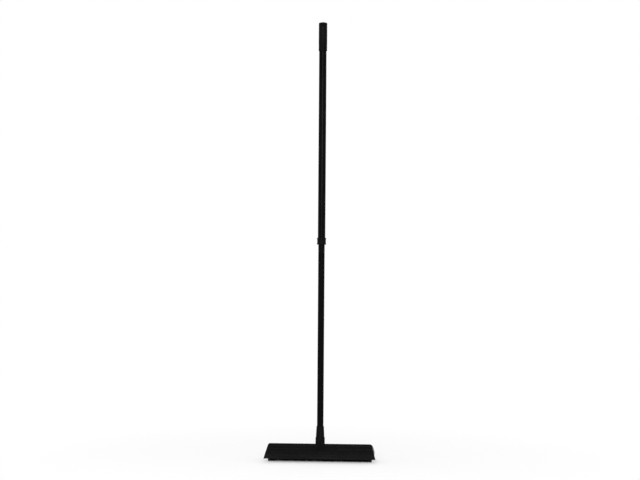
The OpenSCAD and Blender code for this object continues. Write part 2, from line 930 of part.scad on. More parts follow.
module grip() {
  r = grip_d / 2;
  bore_r = upper_tube_d / 2 + seat_gap;
  rings = [for (i = [0:grip_rings - 1])
    let (z = ring_z + i * ring_pitch)
      each [[r, z], [r - ring_h, z + ring_h], [r - ring_h, z + ring_w - ring_h], [r, z + ring_w]]];
  color(black)
    difference() {
      rotate_extrude()
        polygon(concat(
          [[bore_r, grip_z], [r - grip_chamfer, grip_z], [r, grip_z + grip_chamfer]],
          rings,
          [[r, cap_z - cap_seam], [r - cap_seam, cap_z], [bore_r, cap_z]]
        ));
      front_bore(grip_screw_recess_d, grip_screw_z, r - grip_screw_recess_h);
      front_bore(grip_screw_d + 2 * seat_gap, grip_screw_z, 0);
    }
}

module hanger_cap() {
  r = grip_d / 2;
  spigot_r = spigot_d / 2;
  spigot_low_z = cap_z - spigot_length;
  edge = 0.8;
  crown_half = r - cap_r;
  crown_r = (crown_half * crown_half + cap_crown * cap_crown) / (2 * cap_crown);
  color(black)
    difference() {
      rotate_extrude()
        polygon(concat(
          [
            [spigot_bore_d / 2, spigot_low_z], [spigot_r - edge, spigot_low_z],
            [spigot_r, spigot_low_z + edge], [spigot_r, cap_z],
            [r - cap_seam, cap_z], [r, cap_z + cap_seam]
          ],
          arc(crown_half, overall_height - cap_crown - cap_r, cap_r, 0, 90),
          arc(0, overall_height - crown_r, crown_r, acos(crown_half / crown_r), 90),
          [[0, cap_z - spigot_floor_t], [spigot_bore_d / 2, cap_z - spigot_floor_t]]
        ));
      front_bore(hang_hole_d, hang_hole_z, hang_floor_t - r);
      front_bore(grip_screw_d + 2 * seat_gap, grip_screw_z, 0);
    }
}

module grip_screw() {
  color(steel)
    translate([0, -grip_d / 2 + grip_screw_recess_h, grip_screw_z])
      rotate([-90, 0, 0])
        pan_screw(grip_screw_d, grip_screw_length, grip_screw_head_d, grip_screw_head_h);
}

head_frame();
bristle_pad();
scraper_blade();
blade_clamp();
clamp_screws();
ferrule();
ferrule_rivet();
lower_tube();
lock_plug();
plug_pin();
lock_stud();
lock_nut();
lock_sleeve();
lock_cone();
guide_bush();
lock_collar();
collar_rivets();
upper_tube();
grip();
hanger_cap();
grip_screw();
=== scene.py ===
"""Dresses the packed snow brush: softer meshes over the moulded pieces, finishes, studio and camera.

Lengths are millimetres in the part's own frame, with +Z up the pole and -Y towards the blade.
"""

import json
import logging
import math
import random
from collections.abc import Callable, Iterator
from contextlib import contextmanager
from dataclasses import dataclass
from enum import Enum

import bmesh
import bpy
from mathutils import Matrix, Vector

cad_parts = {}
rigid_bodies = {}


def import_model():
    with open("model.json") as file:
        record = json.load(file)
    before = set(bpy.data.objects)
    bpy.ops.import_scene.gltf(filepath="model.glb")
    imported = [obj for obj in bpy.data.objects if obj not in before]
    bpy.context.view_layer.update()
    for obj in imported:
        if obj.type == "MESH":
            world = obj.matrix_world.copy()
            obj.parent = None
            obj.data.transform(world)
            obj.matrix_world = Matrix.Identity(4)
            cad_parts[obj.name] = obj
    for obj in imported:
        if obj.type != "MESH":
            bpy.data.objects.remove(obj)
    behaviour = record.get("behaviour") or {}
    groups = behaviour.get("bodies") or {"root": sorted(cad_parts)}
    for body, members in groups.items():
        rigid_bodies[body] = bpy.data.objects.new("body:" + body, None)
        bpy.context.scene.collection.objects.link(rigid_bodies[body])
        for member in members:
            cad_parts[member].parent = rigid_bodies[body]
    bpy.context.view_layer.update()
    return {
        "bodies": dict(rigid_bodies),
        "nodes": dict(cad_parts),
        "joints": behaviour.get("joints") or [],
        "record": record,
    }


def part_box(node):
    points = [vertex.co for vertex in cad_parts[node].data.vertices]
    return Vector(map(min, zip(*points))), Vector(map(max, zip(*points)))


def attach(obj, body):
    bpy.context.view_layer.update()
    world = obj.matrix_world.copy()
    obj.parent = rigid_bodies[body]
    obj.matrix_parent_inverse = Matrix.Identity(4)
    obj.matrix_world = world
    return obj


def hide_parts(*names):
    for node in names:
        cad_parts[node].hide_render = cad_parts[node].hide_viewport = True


MM = 0.001
SEED = 7

# Degrees beyond which an edge stays sharp
SMOOTH_ANGLE = 32.0
PIN_SMOOTH_ANGLE = 60.0

# How far a cutter reaches past a piece, how close counts as touching, and how far a piece sinks into another
OVER = 1.0
NEAR = 0.01
SINK = 0.1

# Distance in metres at which doubles merge, and the most sides of a sliver that a cut leaves open
MERGE_DISTANCE = 1e-6
SLIVER_SIDES = 4

# Least cosine of a direction that counts as that of an axis
ALONG = 0.9

# Steps of a coarse, a soft and a fine rounding, and sides of a turned piece
COARSE, SOFT, FINE = 2, 4, 8
ROUND_SIDES = 96

# How far the middle of a rounding lies inside its corner, as a share of its width
MID_ROUND = 0.3

# Size and levels of detail of the patterns in a finish, and the part of their range that counts
BLOTCH_SIZE, BLOTCH_DETAIL = 35.0, 3.0
SCUFF_SIZE, SCUFF_DETAIL = 6.0, 5.0
GRAIN_DETAIL = 2.0
MIDDLE = (0.35, 0.65)

# How far a lighter edge reaches, its samples, the cosines where it starts and is full, and its least share;
# lighter edges are partly rubbed wear and partly painted highlight
EDGE_REACH = 0.7
EDGE_SAMPLES = 4
EDGE_COSINES = (0.985, 0.90)
LEAST_WEAR_AND_HIGHLIGHT = 0.2

WHITE = (1.0, 1.0, 1.0, 1.0)
PALE = (0.94, 0.94, 0.94, 1.0)

Place = Vector | tuple[float, float, float]
Test = Callable[[Vector, Vector], bool]
Profile = list[tuple[float, float]]

log = logging.getLogger("snow_brush")


def even_steps(first: float, last: float, count: int) -> list[float]:
    """Gives even steps from a first to a last value, with both of them."""
    return [first + (last - first) * i / count for i in range(count + 1)]


class Element(Enum):
    """What a pick selects in edit mode."""

    VERTS = "VERT"
    EDGES = "EDGE"
    FACES = "FACE"


class Combine(Enum):
    """How a second piece changes the first one."""

    ADD = "UNION"
    CUT = "DIFFERENCE"


class Grain(Enum):
    """Directions of a fine relief, as its stretch along X, Y and Z."""

    EVEN = (1.0, 1.0, 1.0)
    ALONG_HEAD = (0.06, 1.0, 1.0)
    ALONG_POLE = (1.0, 1.0, 0.04)


@dataclass(frozen=True)
class NodeBox:
    """The box of a CAD node.

    Attributes:
        low: Lowest corner.
        high: Highest corner.
    """

    low: Vector
    high: Vector

    @classmethod
    def of(cls, node: str) -> "NodeBox":
        """Reads the box of a node from the frame.

        Args:
            node: Name of the CAD node.

        Returns:
            The box of the node.
        """
        low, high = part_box(node)
        return cls(low / MM, high / MM)


class Workpiece:
    """A mesh on the bench, shaped with the edit operators."""

    def __init__(self, obj: bpy.types.Object, name: str) -> None:
        """Takes hold of an object and names it.

        Args:
            obj: The mesh object.
            name: Name of the piece.
        """
        self.obj = obj
        self.obj.name = name
        self.obj.data.name = name

    @classmethod
    def block(cls, name: str, low: Place, high: Place) -> "Workpiece":
        """Starts a piece from a cube between two corners.

        Args:
            name: Name of the piece.
            low: Lowest corner.
            high: Highest corner.

        Returns:
            The piece.
        """
        bpy.ops.object.select_all(action="DESELECT")
        bpy.ops.mesh.primitive_cube_add(size=1)
        piece = cls(bpy.context.object, name)
        low, high = Vector(low), Vector(high)
        with piece.editing():
            bpy.ops.transform.resize(value=(high - low) * MM)
            bpy.ops.transform.translate(value=(high + low) / 2 * MM)
        return piece

    @classmethod
    def turned(cls, name: str, profile: Profile, sides: int) -> "Workpiece":
        """Turns a piece round the pole's axis, ring by ring.

        Args:
            name: Name of the piece.
            profile: Radius and height of each ring. A profile that ends where it starts is a hollow
                ring, and any other one is closed by discs.
            sides: Number of sides.

        Returns:
            The piece.
        """
        radius, height = profile[0]
        bpy.ops.object.select_all(action="DESELECT")
        bpy.ops.mesh.primitive_circle_add(vertices=sides, radius=radius * MM)
        piece = cls(bpy.context.object, name)
        with piece.editing():
            bpy.ops.transform.translate(value=(0, 0, height * MM))
            for next_radius, next_height in profile[1:]:
                rise = (next_height - height) * MM
                bpy.ops.mesh.extrude_edges_move(TRANSFORM_OT_translate={"value": (0, 0, rise)})
                grow = next_radius / radius
                bpy.ops.transform.resize(
                    value=(grow, grow, 1), center_override=(0, 0, next_height * MM)
                )
                radius, height = next_radius, next_height
            bpy.ops.mesh.select_all(action="SELECT")
            bpy.ops.mesh.remove_doubles(threshold=MERGE_DISTANCE)
            bpy.ops.mesh.fill_holes(sides=0)
            bpy.ops.mesh.normals_make_consistent(inside=False)
        return piece

    @contextmanager
    def editing(self) -> Iterator[None]:
        """Opens the piece in edit mode with all of it selected, and closes it afterwards."""
        self.activate()
        bpy.ops.object.mode_set(mode="EDIT")
        bpy.ops.mesh.select_all(action="SELECT")
        yield
        bpy.ops.object.mode_set(mode="OBJECT")

    def activate(self) -> None:
        """Makes the piece the only one selected, and the active one."""
        bpy.ops.object.select_all(action="DESELECT")
        self.obj.select_set(True)
        bpy.context.view_layer.objects.active = self.obj

    def pick(self, element: Element, test: Test) -> None:
        """Selects what passes a test, in edit mode.

        Args:
            element: Whether vertices, edges or faces are selected.
            test: Takes the middle of an element and its normal, or its direction if it is an edge.
        """
        bpy.ops.mesh.select_mode(type=element.value)
        bpy.ops.mesh.select_all(action="DESELECT")
        shape = bmesh.from_edit_mesh(self.obj.data)
        for item in getattr(shape, element.name.lower()):
            if element is Element.EDGES:
                start, end = (corner.co for corner in item.verts)
                place, way = (start + end) / 2, (end - start).normalized()
            elif element is Element.FACES:
                place, way = item.calc_center_median(), item.normal
            else:
                place, way = item.co, item.normal
            if test(place / MM, way):
                item.select_set(True)
        shape.select_flush_mode()
        bmesh.update_edit_mesh(self.obj.data)

    def cut(self, place: Place, way: Place) -> None:
        """Cuts off all that lies beyond a plane, and closes the cut.

        Args:
            place: A point of the plane.
            way: Normal of the plane, towards what is cut off.
        """
        with self.editing():
            bpy.ops.mesh.bisect(
                plane_co=Vector(place) * MM, plane_no=Vector(way).normalized(),
                use_fill=True, clear_outer=True,
            )

    def split(self, place: Place, way: Place) -> None:
        """Adds an edge loop where a plane meets the piece.

        Args:
            place: A point of the plane.
            way: Normal of the plane.
        """
        with self.editing():
            bpy.ops.mesh.bisect(plane_co=Vector(place) * MM, plane_no=Vector(way).normalized())

    def round_edges(self, width: float, segments: int, test: Test) -> None:
        """Rounds the edges that pass a test.

        Args:
            width: How far from the edge the rounding starts.
            segments: Steps of the rounding.
            test: Takes the middle and the direction of an edge.
        """
        with self.editing():
            self.pick(Element.EDGES, test)
            bpy.ops.mesh.bevel(
                offset=width * MM, segments=segments, affect="EDGES", clamp_overlap=False
            )

    def draw_in(self, share: float, test: Test) -> None:
        """Draws the vertices that pass a test towards the pole's axis.

        Args:
            share: What is left of their distance from the axis.
            test: Takes the place and the normal of a vertex.
        """
        with self.editing():
            self.pick(Element.VERTS, test)
            bpy.ops.transform.resize(value=(share, share, 1), center_override=(0, 0, 0))

    def combine(self, tool: "Workpiece", how: Combine) -> None:
        """Adds another piece or cuts it away, uses it up, and closes slivers that the cut left open.

        Args:
            tool: The other piece.
            how: Whether it is added or cut away.
        """
        modifier = self.obj.modifiers.new(how.name, "BOOLEAN")
        modifier.operation = how.value
        modifier.solver = "EXACT"
        modifier.object = tool.obj
        self.activate()
        bpy.ops.object.modifier_apply(modifier=modifier.name)
        tool.discard()
        with self.editing():
            bpy.ops.mesh.fill_holes(sides=SLIVER_SIDES)

    def discard(self) -> None:
        """Takes the piece off the bench."""
        bpy.data.objects.remove(self.obj)

    def join(self, others: list["Workpiece"]) -> None:
        """Takes other pieces into this one's mesh as they are.

        Args:
            others: The pieces, which are used up.
        """
        self.activate()
        for other in others:
            other.obj.select_set(True)
        bpy.ops.object.join()

    def copy(self, name: str, move: Matrix) -> "Workpiece":
        """Copies the piece, with a mesh of its own.

        Args:
            name: Name of the copy.
            move: Where the copy goes, in metres.

        Returns:
            The copy.
        """
        twin = self.obj.copy()
        twin.data = self.obj.data.copy()
        twin.data.transform(move)
        bpy.context.collection.objects.link(twin)
        return Workpiece(twin, name)

    def turn(self, degrees: float, axis: int) -> None:
        """Turns the piece about an axis through the origin.

        Args:
            degrees: Angle of the turn.
            axis: 0, 1 or 2 for X, Y or Z.
        """
        self.activate()
        self.obj.rotation_euler[axis] = math.radians(degrees)
        bpy.ops.object.transform_apply(location=True, rotation=True, scale=True)

    def move(self, way: Place) -> None:
        """Moves the mesh of the piece."""
        with self.editing():
            bpy.ops.transform.translate(value=Vector(way) * MM)

    def smooth(self, angle: float = SMOOTH_ANGLE) -> None:
        """Merges doubles and shades the piece smooth up to an angle.

        Args:
            angle: Edges that turn more than this many degrees stay sharp.
        """
        with self.editing():
            bpy.ops.mesh.remove_doubles(threshold=MERGE_DISTANCE)
            bpy.ops.mesh.dissolve_degenerate(threshold=MERGE_DISTANCE)
        bpy.ops.object.shade_smooth_by_angle(angle=math.radians(angle))


class Board:
    """The nodes of one material or world."""

    def __init__(self, tree: bpy.types.NodeTree) -> None:
        """Clears a tree.

        Args:
            tree: The node tree.
        """
        self.tree = tree
        self.tree.nodes.clear()

    def add(self, kind: str, **settings: object) -> bpy.types.Node:
        """Adds a node.

        Args:
            kind: Type of the node, without its ShaderNode prefix.
            settings: Properties of the node.

        Returns:
            The node.
        """
        node = self.tree.nodes.new("ShaderNode" + kind)
        for name, value in settings.items():
            setattr(node, name, value)
        return node

    def feed(self, node: bpy.types.Node, **sources: object) -> bpy.types.Node:
        """Sets or links the inputs of a node.

        Args:
            node: The node.
            sources: For each input, with _ for a space, a constant or the output that feeds it.

        Returns:
            The same node.
        """
        for name, source in sources.items():
            self.plug(node.inputs[name.replace("_", " ")], source)
        return node

    def chain(self, node: bpy.types.Node, *sources: object) -> bpy.types.Node:
        """Sets or links the first inputs of a node, in their order.

        Args:
            node: The node.
            sources: For each input, a constant or the output that feeds it.

        Returns:
            The same node.
        """
        for socket, source in zip(node.inputs, sources):
            self.plug(socket, source)
        return node

    def plug(self, socket: bpy.types.NodeSocket, source: object) -> None:
        """Sets or links one input.

        Args:
            socket: The input.
            source: A constant, or the output that feeds it.
        """
        if isinstance(source, bpy.types.NodeSocket):
            self.tree.links.new(source, socket)
        else:
            socket.default_value = source

    def noise(self, place: bpy.types.NodeSocket, size: float, detail: float) -> bpy.types.NodeSocket:
        """Adds a cloudy pattern.

        Args:
            place: Coordinates.
            size: Size of a cloud in millimetres.
            detail: Number of finer layers.

        Returns:
            The output that holds the pattern.
        """
        node = self.feed(self.add("TexNoise"), Vector=place, Scale=1 / (size * MM), Detail=detail)
        return node.outputs["Fac"]

    def spread(
        self, value: bpy.types.NodeSocket, source: tuple[float, float], target: tuple[float, float]
    ) -> bpy.types.NodeSocket:
        """Maps one range of a value onto another, clamped.

        Args:
            value: The output to map.
            source: Lowest and highest value that counts.
            target: What these two become.

        Returns:
            The mapped output.
        """
        node = self.feed(
            self.add("MapRange"), Value=value, From_Min=source[0], From_Max=source[1],
            To_Min=target[0], To_Max=target[1],
        )
        return node.outputs["Result"]

    def maths(self, operation: str, *values: object) -> bpy.types.NodeSocket:
        """Combines values.

        Args:
            operation: Name of the Math node's operation.
            values: Outputs or constants.

        Returns:
            The result.
        """
        return self.chain(self.add("Math", operation=operation), *values).outputs["Value"]

    def blend(self, share: bpy.types.NodeSocket, first: object, second: object) -> bpy.types.NodeSocket:
        """Mixes two colours.

        Args:
            share: How much of the second colour shows.
            first: Colour or output.
            second: Colour or output.

        Returns:
            The mixed colour.
        """
        return self.feed(self.add("MixRGB"), Fac=share, Color1=first, Color2=second).outputs["Color"]


@dataclass(frozen=True)
class Finish:
    """How one material slot looks.

    Attributes:
        slot: Material slot of the record.
        colour: Linear base colour.
        tone: Share by which blotches lighten and darken the colour.
        roughness: Lowest and highest roughness.
        specular: Specular level of the shader.
        grain_size: Size of a grain.
        relief: Depth of the relief.
        grain: Direction of the relief.
        worn: Colour of the lighter edges, which are partly rubbed wear and partly painted highlight.
        wear: How far the lighter edges show, from 0 to 1.
        wear: How far rubbed edges show, from 0 to 1.
        metallic: Metallic share.
    """

    slot: str
    colour: tuple[float, float, float]
    tone: float
    roughness: tuple[float, float]
    specular: float
    grain_size: float
    relief: float
    grain: Grain = Grain.EVEN
    # Colour and strength of the lighter edges, which are partly rubbed wear and partly painted highlight
    worn: tuple[float, float, float] = (0.060, 0.059, 0.057)
    wear: float = 0.35
    metallic: float = 0.0

    def material(self) -> bpy.types.Material:
        """Builds the node material.

        Returns:
            The material.
        """
        material = bpy.data.materials.new(self.slot)
        material.use_nodes = True
        board = Board(material.node_tree)
        place = board.add("TexCoord").outputs["Object"]
        mapping = board.feed(board.add("Mapping"), Vector=place, Scale=self.grain.value)
        stretched = mapping.outputs["Vector"]
        blotch = board.noise(place, BLOTCH_SIZE, BLOTCH_DETAIL)
        scuff = board.noise(stretched, SCUFF_SIZE, SCUFF_DETAIL)
        grain = board.noise(stretched, self.grain_size, GRAIN_DETAIL)

        dark = tuple(channel * (1 - self.tone) for channel in self.colour) + (1.0,)
        light = tuple(channel * (1 + self.tone) for channel in self.colour) + (1.0,)
        tone = board.blend(board.spread(blotch, MIDDLE, (0.0, 1.0)), dark, light)
        # Edges are lightened towards the edge colour: partly rubbed wear and partly painted highlight along
        # the edges
        wear = board.spread(scuff, MIDDLE, (LEAST_WEAR_AND_HIGHLIGHT * self.wear, self.wear))
        rubbed_and_highlit = board.maths("MULTIPLY", self.edge_mask(board), wear)
        colour = board.blend(rubbed_and_highlit, tone, self.worn + (1.0,))
        rough = board.spread(scuff, MIDDLE, self.roughness)
        bump = board.feed(board.add("Bump"), Height=grain, Strength=1.0, Distance=self.relief * MM)
        shader = board.feed(
            board.add("BsdfPrincipled"), Base_Color=colour, Roughness=rough, Metallic=self.metallic,
            Specular_IOR_Level=self.specular, Normal=bump.outputs["Normal"],
        )
        board.feed(board.add("OutputMaterial"), Surface=shader.outputs["BSDF"])
        return material

    def edge_mask(self, board: Board) -> bpy.types.NodeSocket:
        """Finds the edges, where a rounded normal leaves the true one, which are lightened partly as wear
        and partly as painted highlight.

        Args:
            board: Nodes of the material.

        Returns:
            The mask, 1 on an edge.
        """
        rounded = board.feed(board.add("Bevel", samples=EDGE_SAMPLES), Radius=EDGE_REACH * MM)
        true = board.add("NewGeometry")
        normals = rounded.outputs["Normal"], true.outputs["Normal"]
        turn = board.chain(board.add("VectorMath", operation="DOT_PRODUCT"), *normals)
        return board.spread(turn.outputs["Value"], EDGE_COSINES, (0.0, 1.0))


# The head and the blade take the strongest lighter edges, which are partly rubbed wear and partly painted
# highlight lines
FINISHES = (
    Finish(
        slot="head_plastic", colour=(0.0026, 0.0026, 0.0028), tone=0.25, roughness=(0.34, 0.44),
        specular=0.026, grain_size=0.45, relief=0.012, wear=0.8,
    ),
    Finish(
        slot="bristle_rubber", colour=(0.0024, 0.0024, 0.0024), tone=0.30, roughness=(0.50, 0.64),
        specular=0.026, grain_size=0.8, relief=0.015,
    ),
    Finish(
        slot="blade_rubber", colour=(0.0026, 0.0026, 0.0027), tone=0.25, roughness=(0.38, 0.48),
        specular=0.024, grain_size=0.6, relief=0.010, grain=Grain.ALONG_HEAD, wear=0.8,
    ),
    Finish(
        slot="tube_coating", colour=(0.0024, 0.0024, 0.0026), tone=0.20, roughness=(0.20, 0.28),
        specular=0.018, grain_size=0.9, relief=0.003, grain=Grain.ALONG_POLE,
    ),
    Finish(
        slot="fitting_plastic", colour=(0.0028, 0.0028, 0.0030), tone=0.25, roughness=(0.38, 0.48),
        specular=0.032, grain_size=0.45, relief=0.012,
    ),
    Finish(
        slot="grip_rubber", colour=(0.0026, 0.0026, 0.0026), tone=0.25, roughness=(0.46, 0.60),
        specular=0.030, grain_size=0.6, relief=0.022,
    ),
    Finish(
        slot="lock_nylon", colour=(0.72, 0.70, 0.64), tone=0.05, roughness=(0.40, 0.55),
        specular=0.45, grain_size=0.8, relief=0.008, worn=(0.60, 0.58, 0.52),
    ),
    Finish(
        slot="zinc_steel", colour=(0.58, 0.59, 0.60), tone=0.10, roughness=(0.22, 0.38),
        specular=0.5, grain_size=0.3, relief=0.003, worn=(0.70, 0.70, 0.70), metallic=1.0,
    ),
    Finish(
        slot="black_steel", colour=(0.0040, 0.0040, 0.0043), tone=0.20, roughness=(0.48, 0.62),
        specular=0.015, grain_size=0.4, relief=0.006,
    ),
)


class Wardrobe:
    """Dresses pieces and CAD nodes in the finishes of their slots."""

    def __init__(self, frame: dict) -> None:
        """Makes the materials and notes which slot each node takes.
        """
        self.nodes = frame["nodes"]
        self.materials = {finish.slot: finish.material() for finish in FINISHES}
        self.slots = {sub["node"]: sub["material_slot"] for sub in frame["record"]["subparts"]}

    def dress_nodes(self) -> None:
        """Gives every CAD node the material of its slot."""
        for node, slot in self.slots.items():
            materials = self.nodes[node].data.materials
            materials.clear()
            materials.append(self.materials[slot])

    def dress(self, piece: Workpiece, body: str, node: str) -> None:
        """Puts a piece in the place of a CAD node.

        Args:
            piece: The finished piece.
            body: Body that it moves with.
            node: CAD node that it stands for.
        """
        slot = self.slots[node]
        piece.obj.data.materials.clear()
        piece.obj.data.materials.append(self.materials[slot])
        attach(piece.obj, body)
        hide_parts(node)
        log.info("%s: %d faces for %s", piece.obj.name, len(piece.obj.data.polygons), node)


@dataclass
class Head:
    """The moulded head with its blade, clamp bar and rubber pins.

    Attributes:
        body: Body that the pieces move with.
        top_z: Height where the front slope would meet the top without its rounding.
        top_fall: How far the top falls to the back.
        ridge_front_y: Where the front slope would meet the top.
        ridge_back_y: Where the back slope would.
        shoulder_z: Height where the back slope would meet the back.
        nose_h: Height of the nose above the blade.
        wall: Wall of the moulding.
        end_round: Rounding of the top ends and the back corners.
        ridge_round: Width of the roundings along the top.
        shoulder_round: Width of the rounding of the shoulder.
        rim_round: Width of the rounding of the rim.
        groove_shares: Places of the grooves up the front slope.
        groove_r: Radius of a groove.
        groove_depth: Depth of a groove.
        groove_sides: Sides of a groove's cutter.
        lip_t: Height of the lip under the back of the pad.
        lip_w: Width of that lip.
        nose_wall: Wall behind the blade's flange.
        rib_pitch: Distance between the ribs inside.
        rib_t: Thickness of a rib.
        rib_y: Place of the rib along the head.
        socket_d: Outside diameter of the socket.
        socket_bore_d: Diameter of its bore.
        socket_rim: Width of the rounding of its rim.
        socket_floor_z: Height of the floor of the bore.
        socket_floor_t: Thickness of that floor.
        buttress_toe: Distance from the nose to the foot of the buttress.
        buttress_lap: How far the buttress sinks into its neighbours.
        buttress_drop: How far it ends below the rim of the socket.
        buttress_foot_w: Width of its foot.
        buttress_top_w: Width of its top.
        buttress_round: Width of the rounding of its edges.
        pins_per_row: Pins in a long row.
        pin_rows: Rows from front to back.
        row_shifts: How far the rows are set off in turn, as shares of the pitch.
        pin_front_y: Front of the field of pins.
        pin_back_y: Back of that field.
        pin_root_d: Diameter of a pin at its root.
        pin_tip_d: Diameter of a pin at its tip.
        pin_end: Radius and height of the rings of the rounded tip, as shares of its radius.
        pin_flare: Height and width of the flare at its root.
        pin_sides: Sides of a pin.
        pin_tilt: Usual lean of a pin in degrees.
        pad_round: Width of the rounding of the pad's edges.
        flange_t: Thickness of the blade's flange.
        blade_root_t: Thickness of the blade at its root.
        blade_edge_t: Thickness of the blade at its edge.
        blade_edge_round: Height of the rounding of that edge.
        blade_edge_steps: Steps of that rounding.
        blade_neck: Distance from the flange down to the first edge loop of the lip.
        blade_line_r: Radius of the line along the blade.
        blade_line_depth: Depth of that line.
        blade_line_loops: Its edge loops from the top down, as shares of half its width.
        blade_seam: Bevel of the blade under the nose.
        clamp_tongue: Depth of the tongue behind the clamp bar.
        clamp_round: Width of the rounding of the bar's edges.
        clamp_steps: Steps of that rounding.
    """

    body: str = "lower_pole"
    top_z: float = 53.17
    top_fall: float = 5.29
    ridge_front_y: float = -9.72
    ridge_back_y: float = 20.96
    shoulder_z: float = 35.81
    nose_h: float = 2.0
    wall: float = 2.6
    end_round: float = 5.0
    ridge_round: float = 0.9
    shoulder_round: float = 1.7
    rim_round: float = 0.5
    groove_shares: tuple[float, ...] = (0.29, 0.68)
    groove_r: float = 2.6
    groove_depth: float = 1.3
    groove_sides: int = 40
    lip_t: float = 1.5
    lip_w: float = 3.0
    nose_wall: float = 5.0
    rib_pitch: float = 52.0
    rib_t: float = 2.2
    rib_y: float = 12.0
    socket_d: float = 27.5
    socket_bore_d: float = 21.8
    socket_rim: float = 1.0
    socket_floor_z: float = 35.0
    socket_floor_t: float = 3.0
    buttress_toe: float = 1.5
    buttress_lap: float = 0.5
    buttress_drop: float = 2.0
    buttress_foot_w: float = 26.0
    buttress_top_w: float = 8.0
    buttress_round: float = 1.2
    pins_per_row: int = 45
    pin_rows: int = 9
    row_shifts: tuple[float, ...] = (0.5, 0.0, 0.75, 0.25)
    pin_front_y: float = -20.0
    pin_back_y: float = 37.4
    pin_root_d: float = 3.4
    pin_tip_d: float = 2.2
    pin_end: tuple[tuple[float, float], ...] = ((0.4, 0.0), (0.8, 0.15), (1.0, 0.6))
    pin_flare: float = 0.8
    pin_sides: int = 8
    pin_tilt: float = 0.7
    pad_round: float = 0.6
    flange_t: float = 3.0
    blade_root_t: float = 2.6
    blade_edge_t: float = 1.6
    blade_edge_round: float = 0.5
    blade_edge_steps: int = 3
    blade_neck: float = 1.5
    blade_line_r: float = 1.5
    blade_line_depth: float = 0.8
    blade_line_loops: tuple[float, ...] = (1.0, 0.6, 0.0, -0.6, -1.0)
    blade_seam: float = 1.0
    clamp_tongue: float = 4.0
    clamp_round: float = 0.5
    clamp_steps: int = 3

    def __post_init__(self) -> None:
        """Reads the outer sizes from the frame."""
        self.shell_box = NodeBox.of("head_frame")
        self.pad_box = NodeBox.of("bristle_pad")
        self.blade_box = NodeBox.of("scraper_blade")
        self.clamp_box = NodeBox.of("blade_clamp")
        self.rim_z = self.shell_box.low.z
        self.nose_y = self.shell_box.low.y
        self.back_y = self.shell_box.high.y
        self.seat_z = self.blade_box.high.z
        self.nose_top_z = self.seat_z + self.nose_h
        self.flange_back_y = self.blade_box.high.y
        self.pad_z = self.rim_z + self.lip_t
        self.nose = Vector((0, self.nose_y, self.nose_top_z))
        self.ridge = Vector((0, self.ridge_front_y, self.top_z))
        self.shoulder = Vector((0, self.back_y, self.shoulder_z))
        front_run = self.ridge_front_y - self.nose_y
        top_run = self.ridge_back_y - self.ridge_front_y
        back_run = self.back_y - self.ridge_back_y
        back_rise = self.top_z - self.top_fall - self.shoulder_z
        self.front_slope = Vector((0, self.nose_top_z - self.top_z, front_run)).normalized()
        self.top_slope = Vector((0, self.top_fall, top_run)).normalized()
        self.back_slope = Vector((0, back_rise, back_run)).normalized()

    def half_width(self, z: float) -> float:
        """Half the width of the head at a height.

        Args:
            z: The height.

        Returns:
            Distance from the middle to the leaning end.
        """
        low, high = self.blade_box.low.z, self.rim_z
        spread = self.shell_box.high.x - self.blade_box.high.x
        return self.blade_box.high.x + spread * (z - low) / (high - low)

    @property
    def lean(self) -> float:
        """How far an end leans inwards per height."""
        return (self.half_width(0) - self.half_width(self.top_z)) / self.top_z

    def cut_ends(self, piece: Workpiece, inset: float) -> None:
        """Cuts a piece to the leaning ends of the head.

        Args:
            piece: The piece to cut.
            inset: How far inside the outer form the cuts lie.
        """
        for side in (-1, 1):
            end = Vector((side, 0, self.lean)).normalized()
            piece.cut(Vector((side * self.half_width(self.rim_z), 0, self.rim_z)) - inset * end, end)

    def cut_slopes(self, piece: Workpiece, inset: float) -> None:
        """Cuts a piece to the front and back slope of the head.

        Args:
            piece: The piece to cut.
            inset: How far inside the outer form the cuts lie.
        """
        piece.cut(self.nose - inset * self.front_slope, self.front_slope)
        piece.cut(self.shoulder - inset * self.back_slope, self.back_slope)

    def form(self) -> Workpiece:
        """Makes the outer form of the head with all its roundings.

        Returns:
            The solid form.
        """
        reach = self.half_width(self.rim_z) + OVER
        form = Workpiece.block(
            "head_shell", (-reach, self.nose_y, self.rim_z), (reach, self.back_y, self.top_z + self.top_fall)
        )
        self.cut_ends(form, 0)
        form.cut(self.ridge, self.top_slope)
        form.round_edges(
            self.end_round, FINE, lambda place, way: abs(place.y - self.back_y) < NEAR and abs(way.z) > ALONG
        )
        form.round_edges(
            self.end_round, FINE,
            lambda place, way: self.on_slope(place, self.ridge, self.top_slope) and abs(way.y) > ALONG,
        )
        self.cut_slopes(form, 0)
        form.round_edges(
            self.shoulder_round, SOFT,
            lambda place, way: self.on_slope(place, self.shoulder, self.back_slope)
            and not self.on_slope(place, self.ridge, self.top_slope),
        )
        form.round_edges(
            self.ridge_round, SOFT,
            lambda place, way: self.on_slope(place, self.nose, self.front_slope)
            or (
                self.on_slope(place, self.shoulder, self.back_slope)
                and self.on_slope(place, self.ridge, self.top_slope)
            ),
        )
        form.round_edges(self.rim_round, COARSE, lambda place, way: abs(place.z - self.rim_z) < NEAR)
        return form

    @staticmethod
    def on_slope(place: Vector, corner: Vector, slope: Vector) -> bool:
        """Tells whether a place lies in the plane of a slope."""
        return abs((place - corner).dot(slope)) < NEAR

    def hollow(self, name: str, low: Place, high: Place, more: float = 0.0) -> Workpiece:
        """Makes the cutter of a part of the hollow, inside the walls.

        Args:
            name: Name of the cutter.
            low: Lowest corner.
            high: Highest corner.
            more: Extra thickness of the walls.

        Returns:
            The cutter.
        """
        cutter = Workpiece.block(name, low, high)
        inset = self.wall + more
        self.cut_ends(cutter, inset)
        self.cut_slopes(cutter, inset)
        cutter.cut(self.ridge - inset * self.top_slope, self.top_slope)
        return cutter

